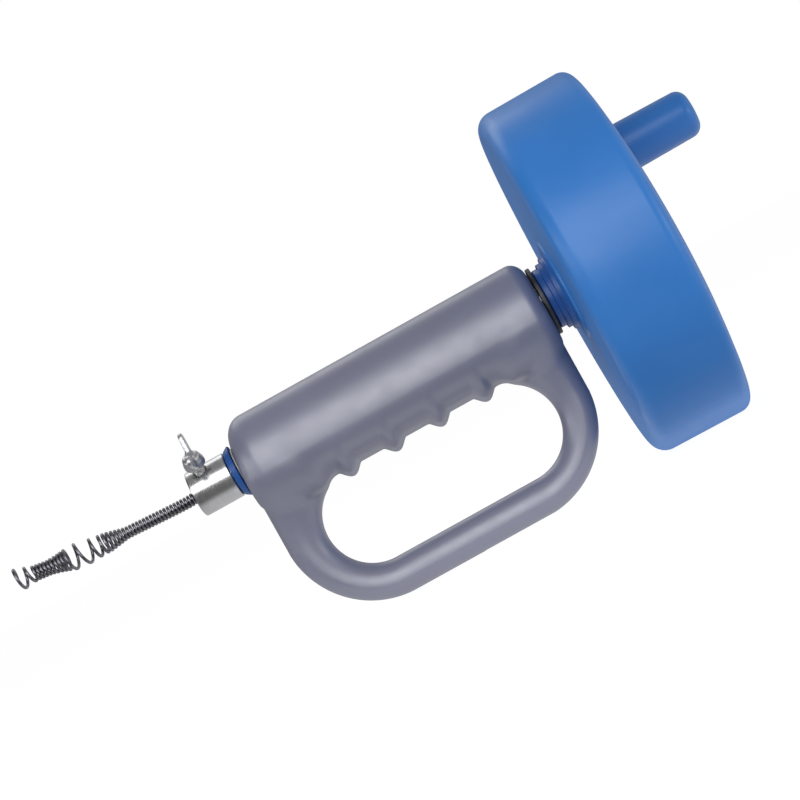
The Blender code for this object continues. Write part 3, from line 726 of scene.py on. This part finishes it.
def loop_seed(sides=20):
    """The loop as oval sections from one end of the barrel round the window to the other."""
    rings = []
    turns = tau * (np.arange(sides) + 0.5) / sides
    for end_side, centre, outer_face in ((-1, WINDOW_FRONT + WINDOW_RADIUS, LOOP_FRONT),
                                         (1, WINDOW_REAR - WINDOW_RADIUS, LOOP_REAR)):
        angles = [radians(15 + 7.5 * step) for step in range(23)]
        if end_side > 0:
            angles.reverse()
        for angle in angles:
            reach = float(loop_reach(np.array(angle), abs(outer_face - centre)))
            aim = np.array((end_side * sin(angle), 0.0, cos(angle)))
            middle = np.array((centre, 0.0, WINDOW_CENTRE)) + aim * (reach + WINDOW_RADIUS) / 2
            rings.append(middle + np.outer(np.cos(turns), aim) * (reach - WINDOW_RADIUS) / 2
                         + np.outer(np.sin(turns), (0.0, float(loop_half_depth(angle)), 0.0)))
    return np.concatenate(rings), bar_faces(len(rings), sides)


def build_grip():
    barrel = rounded([(BARREL_FRONT, 0.0, 0.0), (BARREL_FRONT, BARREL_RADIUS, BARREL_FRONT_EDGE),
                      (BARREL_REAR, BARREL_RADIUS, BARREL_REAR_EDGE), (BARREL_REAR, 0.0, 0.0)], 6)
    first = RIDGE_FIRST - 0.6 * RIDGE_PITCH
    last = RIDGE_FIRST + (RIDGE_COUNT - 0.4) * RIDGE_PITCH
    under = [(s, float(ridge_radius(s))) for s in np.arange(first, last, 1.0)]
    ridges = lathe_mesh([(first, 0.0), *under, (last, 0.0)], 48, centre=(0.0, 0.0, RIDGE_AXIS))
    seeds = [lathe_mesh(barrel, 64), loop_seed(), ridges]
    looks = ("handle", ["handle_grip"], "grip_grey")
    solid = field_mesh(seeds, grip_field, 0.9)
    seat = BUSHING_RADIUS + RUNNING_GAP
    depth = BUSHING_LENGTH + 2 * RUNNING_GAP
    bore = [(BARREL_FRONT - 3, 0.0), (BARREL_FRONT - 3, seat), (BARREL_FRONT + depth, seat),
            (BARREL_FRONT + depth, BARREL_BORE), (BARREL_REAR - depth, BARREL_BORE),
            (BARREL_REAR - depth, seat), (BARREL_REAR + 3, seat), (BARREL_REAR + 3, 0.0)]
    mesh = cut_mesh("grip_moulding", solid, [lathe_mesh(bore, 64)])
    place_piece("grip_moulding", mesh, *looks, 45.0)


def build_bushings():
    starts = (("front_bushing", BARREL_FRONT + RUNNING_GAP),
              ("rear_bushing", BARREL_REAR - RUNNING_GAP - BUSHING_LENGTH))
    for name, front in starts:
        rear = front + BUSHING_LENGTH
        profile = ring_profile([(front, 10.0, 0.0), (front, SPINDLE_CLEAR, 0.5),
                                (rear, SPINDLE_CLEAR, 0.5), (rear, BUSHING_RADIUS, 0.5),
                                (front, BUSHING_RADIUS, 0.5)], 3)
        make_piece(name + "_ring", *lathe_mesh(profile, 96), "handle", [name], "bushing_black")


# Drum

def build_drum():
    wall = 2.6
    face_edge = 8.5
    lip = [(DRUM_DEPTH - 5.8 + 5.8 * sin(turn), 86.8 + (DRUM_RADIUS - 86.8) * cos(turn), 0.0)
           for turn in np.linspace(0.0, pi / 2, 13)]
    bore = [(4.5, 20.0, 1.0), (4.5, SPINDLE_CLEAR, 0.3), (NECK_FRONT, SPINDLE_CLEAR, 0.5)]
    stepped_neck = [(NECK_FRONT, 15.3, 0.8), (-6.9, 15.3, 0.3), (-6.9, 17.0, 0.5),
                    (-4.4, 17.0, 0.3), (-4.4, 19.0, 0.5), (-2.0, 19.2, 0.8)]
    flare_and_face = [(-1.2, 25.2, 0.8), (0.0, 26.2, 0.6), (0.0, DRUM_FRONT_RADIUS, face_edge)]
    cover_seat = [(DRUM_DEPTH - 0.2, 86.3, 0.0), (46.7, 86.3, 0.2), (46.7, 78.5, 0.4),
                  (43.5, 78.5, 0.4)]
    inside = [(43.5, 89.2, 0.4), (wall, 88.7, face_edge - wall)]
    profile = ring_profile([(wall, 24.0, 0.0), *bore, *stepped_neck, *flare_and_face, *lip,
                            *cover_seat, *inside], 9)
    # The neck of this moulding gets the drum blue's painted shade, a darker blue in front of the face.
    make_piece("drum_moulding", *lathe_mesh(profile, 288), "drum", ["drum_shell"], "drum_blue",
               50.0)


def cover_screw_places():
    angles = [tau * (index + 0.5) / 4 for index in range(4)]
    return [(COVER_SCREW_CIRCLE * sin(angle), COVER_SCREW_CIRCLE * cos(angle)) for angle in angles]


def build_cover():
    """The stepped cover plate, sunk for its screws, and the boss round the crank screw."""
    steps = [(56.1, 0.0, 0.0), (56.1, 47.7, 0.6), (54.2, 48.8, 0.5), (54.1, 67.7, 0.6),
             (52.7, 68.8, 0.5), (52.6, 78.2, 0.6), (51.5, 79.0, 0.4), (51.4, 85.9, 0.7)]
    underside = [(47.0, 85.9, 0.3), (47.0, 78.0, 0.4), (50.0, 76.0, 0.8), (50.0, 66.8, 0.4),
                 (51.7, 66.2, 0.4), (51.7, 46.6, 0.4), (53.7, 46.0, 0.4), (53.7, 0.0, 0.0)]
    cover = lathe_mesh(rounded(steps + underside, 5), 288)
    floor = COVER_SCREW_SEAT - RUNNING_GAP
    wide = COVER_SCREW_HEAD + RUNNING_GAP
    sinks = [lathe_mesh([(floor, 0.0), (floor, wide), (53.0, wide), (53.0, 0.0)], 32,
                        centre=(0.0, y, z)) for y, z in cover_screw_places()]
    plate = cut_mesh("cover_plate", cover, sinks)
    place_piece("cover_moulding", plate, "drum", ["rear_cover"], "drum_blue", 50.0, "cover_blue")
    boss = [(52.4, 0.0), (52.4, 11.6), (56.0, 11.6), (56.75, 11.4), (56.95, 11.1), (57.0, 10.8),
            (57.0, 0.0)]
    make_piece("cover_boss", *lathe_mesh(boss, 96, centre=CRANK), "drum", (), "drum_blue", 50.0,
               "cover_blue")


def cross_cutter(depth, width, reach, top, centre, turn_angle):
    """A tapered cross that cuts a screw head's recess."""
    base = np.array((top, *centre))
    inward = np.array((1.0, 0.0, 0.0))
    parts = []
    for angle in (turn_angle, turn_angle + pi / 2):
        along = reach * np.array((0.0, cos(angle), sin(angle)))
        across = width * np.array((0.0, -sin(angle), cos(angle)))
        points = [base + inward * level + (a * along + b * across) * taper
                  for level, taper in ((0.5, 1.12), (-depth, 0.55))
                  for a, b in ((-1, -1), (1, -1), (1, 1), (-1, 1))]
        parts.append((np.array(points), bar_faces(2, 4)))
    return parts


def build_cover_screws():
    seat = COVER_SCREW_SEAT
    top = seat + 1.55
    dome = [(seat + 0.35 + 1.2 * sin(turn), COVER_SCREW_HEAD * max(0.0, cos(turn)) ** 0.8)
            for turn in np.linspace(0.0, pi / 2, 9)[:-1]]
    profile = [(43.0, 0.0), (43.6, 1.4), (seat, 1.4), (seat, COVER_SCREW_HEAD - 0.05), *dome,
               (top, 0.0)]
    for index, (y, z) in enumerate(cover_screw_places()):
        head = lathe_mesh(profile, 40, centre=(0.0, y, z))
        cutters = cross_cutter(1.1, 0.32, 1.5, top, (y, z), 0.4 + 0.9 * index)
        mesh = cut_mesh("cover_screw", head, cutters)
        place_piece(f"cover_screw_{index + 1}_head", mesh, "drum", [f"cover_screw_{index + 1}"],
                    "zinc_steel", 35.0)


def build_knob():
    end = [(94.1 + 6.0 * sin(turn), 6.3 + 6.0 * cos(turn), 0.0)
           for turn in np.linspace(0.0, 1.23, 10)]
    screw_seat = [(99.8, 8.0, 0.2), (92.7, 8.0, 0.4), (92.7, CRANK_BORE, 0.3)]
    profile = ring_profile([(60.0, CRANK_BORE, 0.0), (58.6, CRANK_BORE, 0.4), (58.6, 12.8, 1.2),
                            (61.0, 12.8, 4.0), *end, *screw_seat], 7)
    make_piece("crank_knob_moulding", *lathe_mesh(profile, 144, centre=CRANK), "knob",
               ["crank_knob"], "drum_blue", 50.0, "knob_blue")


def build_crank_hardware():
    """The shoulder screw that the knob turns on, and the washer under the knob."""
    shoulder = 57.3
    top = 97.0
    screw = rounded([(43.5, 0.0, 0.0), (43.5, 2.3, 0.0), (44.3, 2.95, 0.3), (shoulder, 2.95, 0.0),
                     (shoulder, 4.0, 0.2), (93.0, 4.0, 0.2), (93.0, 7.0, 0.3), (95.2, 7.0, 0.8),
                     (top, 5.2, 1.0), (top, 0.0, 0.0)], 4)
    cross = cross_cutter(2.0, 0.6, 3.0, top, CRANK[1:], 0.3)
    mesh = cut_mesh("crank_screw_turned", lathe_mesh(screw, 72, centre=CRANK), cross)
    place_piece("crank_screw_turned", mesh, "drum", ["crank_screw"], "zinc_steel", 35.0)
    washer = ring_profile([(57.8, CRANK_BORE, 0.0), (57.3, CRANK_BORE, 0.15), (57.3, 8.5, 0.3),
                           (58.3, 8.5, 0.3), (58.3, CRANK_BORE, 0.15)], 3)
    make_piece("crank_washer_ring", *lathe_mesh(washer, 72, centre=CRANK), "drum",
               ["crank_washer"], "zinc_steel")


def build_rings():
    """Thrust washer, blue cone collar and rear washer on the spindle."""
    rings = (("front_washer", (-177.6, 11.3), (-176.8, 11.3), 0.25, "washer_white", None),
             # The collar lies in front of the drum's face, so it gets the drum blue's painted shade.
             ("front_collar", (-181.2, 11.5), (-177.9, 13.6), 0.5, "drum_blue", None),
             # The rear washer's very dark finish is painted shade.
             ("rear_washer", (-12.3, 17.5), (-10.3, 17.5), 0.35, "turned_steel", "painted_shade_steel"))
    for name, (front, front_radius), (rear, rear_radius), edge, slot, finish in rings:
        profile = ring_profile([((front + rear) / 2, SPINDLE_CLEAR, 0.0),
                                (front, SPINDLE_CLEAR, 0.2), (front, front_radius, edge),
                                (rear, rear_radius, edge), (rear, SPINDLE_CLEAR, 0.2)], 5)
        make_piece(name + "_ring", *lathe_mesh(profile, 128), "drum", [name], slot, finish=finish)


# Chuck and clamp

def build_chuck():
    nose = [(CHUCK_FRONT, CHUCK_BORE, 0.6), (CHUCK_FRONT, CHUCK_FRONT_RADIUS, 0.0),
            (CHUCK_FRONT + 0.25, 11.3, 0.1), (CHUCK_FRONT + 0.75, CHUCK_RADIUS, 0.15)]
    tail = [(CHUCK_REAR - 0.6, CHUCK_RADIUS, 0.15), (CHUCK_REAR, CHUCK_RADIUS - 0.6, 0.1),
            (CHUCK_REAR, SPINDLE_CLEAR, 0.2), (SPINDLE_END, SPINDLE_CLEAR, 0.0),
            (SPINDLE_END, CHUCK_BORE, 0.0)]
    body = lathe_mesh(ring_profile([(-196.0, CHUCK_BORE, 0.0), *nose, *tail], 4), 160)
    clamp_hole = [(4.0, 0.0), (4.0, CLAMP_HOLE), (11.0, CLAMP_HOLE), (12.2, 4.4), (12.2, 0.0)]
    grub_hole = [(6.0, 0.0), (6.0, 2.2), (11.1, 2.2), (12.0, 2.9), (12.0, 0.0)]
    clamp = lathe_mesh(clamp_hole, 48, radial_turn(CLAMP_TILT), (CLAMP_STATION, 0.0, 0.0))
    grub_pose = (radial_turn(GRUB_TILT), (GRUB_STATION, 0.0, 0.0))
    mesh = cut_mesh("chuck_turned", body, [clamp, lathe_mesh(grub_hole, 32, *grub_pose)])
    place_piece("chuck_turned", mesh, "drum", ["chuck_body"], "turned_steel", 28.0)

    grub = [(8.5, 0.0), (8.5, 1.9), (10.9, 1.9), (11.2, 1.6), (11.2, 0.0)]
    socket = [(9.6, 0.0), (9.6, 0.95), (11.6, 0.95), (11.6, 0.0)]
    mesh = cut_mesh("grub_screw_socket", lathe_mesh(grub, 32, *grub_pose),
                    [lathe_mesh(socket, 6, *grub_pose)])
    place_piece("grub_screw_socket", mesh, "drum", ["chuck_grub_screw"], "black_steel", 30.0)


def wing_field(points):
    """Distance to the wing screw's hub and wings, as (height, thickness, reach) from the axis."""
    height, thick, reach = points.T
    hub_radius = np.interp(height, (15.1, 16.2, 18.2, 20.8, 21.8), (5.35, 5.5, 5.3, 4.5, 3.7))
    hub = smooth_max(np.hypot(reach, thick) - hub_radius, np.abs(height - 18.45) - 3.35, 1.2)
    side = np.abs(reach)
    start = np.array((18.4, 3.0))
    end = np.array((25.4, 9.9))
    span = end - start
    along = (height - start[0]) * span[0] + (side - start[1]) * span[1]
    part = np.clip(along / span.dot(span), 0.0, 1.0)
    off = np.hypot(height - start[0] - part * span[0], side - start[1] - part * span[1])
    half_width = 2.6 + 0.5 * part
    half_thickness = 1.45 - 0.25 * part
    wing = smooth_max(off - half_width, np.abs(thick) - half_thickness, 1.1)
    return smooth_min(hub, wing, 1.5)


def thread_mesh(start, end, radius, pitch, depth, sides=48):
    """A right-handed thread along the station axis, as a closed bar."""
    steps = max(2, round((end - start) / 0.1))
    points = []
    for step in range(steps + 1):
        station = start + (end - start) * step / steps
        for side in range(sides):
            turn = side / sides
            phase = (station / pitch - turn) % 1.0
            groove = depth * min(1.0, max(0.0, abs(phase - 0.5) * 2.6 - 0.25))
            size = radius - groove
            points.append((station, size * sin(tau * turn), size * cos(tau * turn)))
    return np.array(points), bar_faces(steps + 1, sides)


def wing_seed(side):
    """A flat plate in the outline of the wing on one side of the hub."""
    outline = [(21.0, 0.8), (16.0, 0.8), (16.0, 4.6)]
    outline += [(25.4 + 3.1 * cos(radians(a)), 9.9 + 3.1 * sin(radians(a)))
                for a in range(130, -30, -20)]
    points = [(h, depth, side * r) for depth in (-1.4, 1.4) for h, r in outline]
    return np.array(points), bar_faces(2, len(outline))


def build_clamp():
    turn = radial_turn(CLAMP_TILT)
    centre = np.array((CLAMP_STATION, 0.0, 0.0))
    hub = lathe_mesh([(15.1, 0.0), (15.1, 5.4), (18.2, 5.3), (21.8, 3.6), (21.8, 0.0)], 32)
    voxel = 0.28
    cast, cast_faces = field_mesh([hub, wing_seed(1), wing_seed(-1)], wing_field, voxel)
    # The field's thickness runs along the tool axis, and its reach across it.
    cast = cast[:, (0, 2, 1)]
    shank = thread_mesh(6.0, 15.4, CLAMP_THREAD, 1.0, 0.5)
    points, faces = join_meshes([(cast, cast_faces), shank])
    make_piece("wing_screw_cast", points @ np.array(turn).T + centre, faces, "wing_screw",
               ["wing_screw"], "zinc_steel", 45.0)
    shoe = rounded([(3.3, 0.0, 0.0), (3.3, 2.7, 0.4), (5.6, 2.7, 0.4), (5.6, 0.0, 0.0)], 3)
    make_piece("clamp_shoe_turned", *lathe_mesh(shoe, 48, turn, tuple(centre)), "clamp_shoe",
               ["clamp_shoe"], "brass")


# Cable

def cable_height(station):
    """Height of the cable's centre line over the tool axis. It rests low in the chuck's mouth and
    turns up a little at two soft bends in front of it."""
    height = 0.0
    for bend, half_slope, softness in CABLE_BENDS:
        past = bend - station
        height = height + half_slope * (past + np.hypot(past, softness))
    inside = np.maximum(0.0, station + 208.0) / 8.0
    return height - CABLE_LOW / (1.0 + inside ** 2)


def tip_windings():
    """The auger tip's wire: (turns, station, radius of the wire's centre), in turn order."""
    return np.array(((0, TIP_START, CABLE_RADIUS - WIRE_RADIUS), (3, -246.4, 3.5), (5, -250.6, 4.4),
                     (6, -252.7, 4.5), (6.5, -253.8, 4.6), (7, -256.6, 4.8), (7.5, -258.3, 5.0),
                     (8, -262.4, 5.5), (8.5, -266.1, 5.9), (9, -270.0, 5.7), (9.25, -271.4, 5.2),
                     (10.25, -273.5, 4.7), (11.25, -275.2, 4.3), (12.25, -277.1, 3.9),
                     (13.25, -279.2, 3.6), (14.5, -281.5, 3.2), (18.25, -288.4, 3.3),
                     (19, -290.0, 3.5), (19.5, -292.5, 4.3), (20, -296.1, 4.9),
                     (20.5, -297.5, 5.5), (20.75, -298.9, 5.0)))


def wire_path(turns, stations, radii):
    """Points of the wire, wound round the cable's centre line."""
    angles = tau * (turns + 0.5)
    heights = cable_height(stations)
    return np.stack([stations, radii * np.sin(angles), heights + radii * np.cos(angles)], axis=1)


def soften(values, width):
    """Evens out a row of values with a moving bell, keeping its two ends."""
    reach = 2 * width
    before = 2 * values[0] - values[reach:0:-1]
    after = 2 * values[-1] - values[-2:-reach - 2:-1]
    padded = np.concatenate([before, values, after])
    weights = np.exp(-0.5 * (np.arange(-reach, reach + 1) / width) ** 2)
    return np.convolve(padded, weights / weights.sum(), "valid")


def build_cable():
    windings = tip_windings()
    turns = np.linspace(0.0, windings[-1, 0], round(windings[-1, 0] * 28) + 1)
    stations = soften(np.interp(turns, windings[:, 0], windings[:, 1]), 4)
    radii = soften(np.interp(turns, windings[:, 0], windings[:, 2]), 4)
    thickness = np.full(len(turns), WIRE_RADIUS)
    thickness[-1] = 0.8 * WIRE_RADIUS
    tip = sweep_mesh(wire_path(turns, stations, radii), thickness, 12)
    make_piece("auger_tip_wire", *tip, "cable", ["auger_tip"], "spring_steel", 50.0)

    count = (CABLE_INNER_END - TIP_START) / CABLE_PITCH
    turns = np.linspace(-count, 0.0, round(count * 20) + 1)
    radii = np.full(len(turns), CABLE_RADIUS - WIRE_RADIUS)
    cable = sweep_mesh(wire_path(turns, TIP_START - turns * CABLE_PITCH, radii), WIRE_RADIUS, 8)
    make_piece("cable_spring", *cable, "cable", ["cable_shaft"], "spring_steel", 50.0)


# Carried-over solids, which lie inside the others

def finish_inner_solids():
    """Gives the CAD nodes that no piece replaces the finish of their material slot."""
    slots = {part["node"]: part["material_slot"] for part in frame["record"]["subparts"]}
    for name, node in frame["nodes"].items():
        if not node.hide_render:
            node.data.materials.clear()
            node.data.materials.append(FINISHES[slots[name]])


# Studio

def make_camera():
    """A long lens level with the tool axis, rolled so that the tool points down to the left."""
    right = Vector((cos(CAMERA_AIM), 0.0, sin(CAMERA_AIM)))
    back = Vector((-sin(CAMERA_AIM), 0.0, cos(CAMERA_AIM)))
    up = Vector((0.0, 1.0, 0.0))
    rolled_right = right * cos(CAMERA_ROLL) + up * sin(CAMERA_ROLL)
    rolled_up = up * cos(CAMERA_ROLL) - right * sin(CAMERA_ROLL)
    columns = [Vector((v.x, -v.z, v.y)) for v in (rolled_right, rolled_up, back)]
    data = bpy.data.cameras.new("camera")
    data.lens = CAMERA_LENS
    data.sensor_width = 36.0
    data.clip_end = 50.0
    camera = add_object("camera", data)
    matrix = Matrix(columns).transposed().to_4x4()
    matrix.translation = ORIGIN + Vector(CAMERA_PLACE) * MM
    camera.matrix_world = matrix
    bpy.context.scene.camera = camera


def area_light(name, azimuth, elevation, distance, width, height, power, roll):
    """A softbox that looks at the middle of the tool. Azimuth 0 is in front of its side, at -Y."""
    a = radians(azimuth)
    e = radians(elevation)
    back = Vector((sin(a) * cos(e), -cos(a) * cos(e), sin(e)))
    data = bpy.data.lights.new(name, "AREA")
    data.shape = "RECTANGLE"
    data.size = width
    data.size_y = height
    data.energy = power
    light = add_object(name, data)
    light.rotation_mode = "QUATERNION"
    rolled = Quaternion((0.0, 0.0, 1.0), radians(roll))
    light.rotation_quaternion = back.to_track_quat("Z", "Y") @ rolled
    light.location = Vector((0.0, 0.0, AXIS_Z)) + back * distance


def make_stage():
    """A pale floor that runs out of sight. The camera sees it an even near-white. In reflections it
    is dimmer in front and at the nose, and in diffuse light it has a lowest level."""
    corners = FLOOR_REACH * np.array(((-1, -1, 0), (1, -1, 0), (1, 1, 0), (-1, 1, 0)))
    mesh = new_mesh("floor", corners, [(0, 1, 2, 3)])
    floor = add_object("floor", mesh)
    material = bpy.data.materials.new("floor_pale")
    material.use_nodes = True
    made = Graph(material.node_tree)
    shader = made.tree.nodes["Principled BSDF"]
    made.fill(shader, Base_Color=(0.10, 0.10, 0.10, 1.0), Roughness=0.9, Specular_IOR_Level=0.0,
              Emission_Color=(1.0, 1.0, 1.0, 1.0))
    place = made.split(made.new("ShaderNodeTexCoord").outputs["Object"])
    behind = made.smooth_spread(place["Y"], 0.14, 0.82, -0.10, -0.03)
    across = made.maths("ADD", place["X"], made.maths("MULTIPLY", place["Y"], 0.75))
    aside = made.smooth_spread(across, 0.14, 0.80, -0.06, 0.29)
    from_nose = made.smooth_spread(place["X"], 0.45, 1.0, -0.25, 0.0)
    mirrored = made.maths("MULTIPLY", made.maths("MAXIMUM", behind, aside), from_nose)
    rays = made.new("ShaderNodeLightPath").outputs
    diffuse = made.maths("MULTIPLY", rays["Is Diffuse Ray"], 0.38)
    unseen = made.maths("MAXIMUM", mirrored, diffuse)
    glow = made.spread(rays["Is Camera Ray"], unseen, 0.96, 0.0, 1.0)
    made.fill(shader, Emission_Strength=glow)
    mesh.materials.append(material)


def make_world():
    """A white room to the camera. In reflections it is dim in front, brighter behind and at the
    crank end, and darkest past the nose."""
    world = bpy.data.worlds.new("studio")
    bpy.context.scene.world = world
    world.use_nodes = True
    made = Graph(world.node_tree)
    made.tree.nodes.clear()
    place = made.new("ShaderNodeTexCoord").outputs["Generated"]

    def towards(direction, low, high, start, end):
        """A level that goes from low to high as the view turns towards a direction."""
        node = made.new("ShaderNodeVectorMath", operation="DOT_PRODUCT")
        made.link(place, node.inputs[0])
        node.inputs[1].default_value = Vector(direction).normalized()
        return made.smooth_spread(node.outputs["Value"], low, high, start, end)

    behind = towards((0.0, 1.0, 0.0), 0.16, 0.52, -0.1, 0.7)
    crank_side = towards((1.0, 0.0, 0.0), 0.15, 0.80, 0.5, 0.9)
    nose_side = towards((-1.0, 0.0, 0.0), 0.12, 0.22, 0.5, 0.9)
    overhead = towards((0.0, -0.2, 1.0), 0.12, 0.32, 0.75, 0.95)
    level = made.maths("MAXIMUM", made.maths("MAXIMUM", behind, crank_side),
                       made.maths("MAXIMUM", nose_side, overhead))
    level = made.maths("MULTIPLY", level, towards((-1.0, 0.0, 0.0), 1.0, 0.3, 0.3, 0.8))
    rays = made.new("ShaderNodeLightPath").outputs
    glow = made.spread(rays["Is Camera Ray"], level, 1.0, 0.0, 1.0)
    shader = made.new("ShaderNodeBackground")
    made.fill(shader, Color=(1.0, 1.0, 1.0, 1.0), Strength=glow)
    made.fill(made.new("ShaderNodeOutputWorld"), Surface=shader.outputs["Background"])


def make_studio():
    bpy.context.scene.view_settings.view_transform = "Standard"
    make_camera()
    make_stage()
    make_world()
    for softbox in SOFTBOXES:
        area_light(*softbox)


make_studio()
FINISHES = make_finishes()
for build in (build_grip, build_bushings, build_drum, build_cover, build_cover_screws, build_knob,
              build_crank_hardware, build_rings, build_chuck, build_clamp, build_cable):
    build()
finish_inner_solids()
bpy.context.view_layer.update()
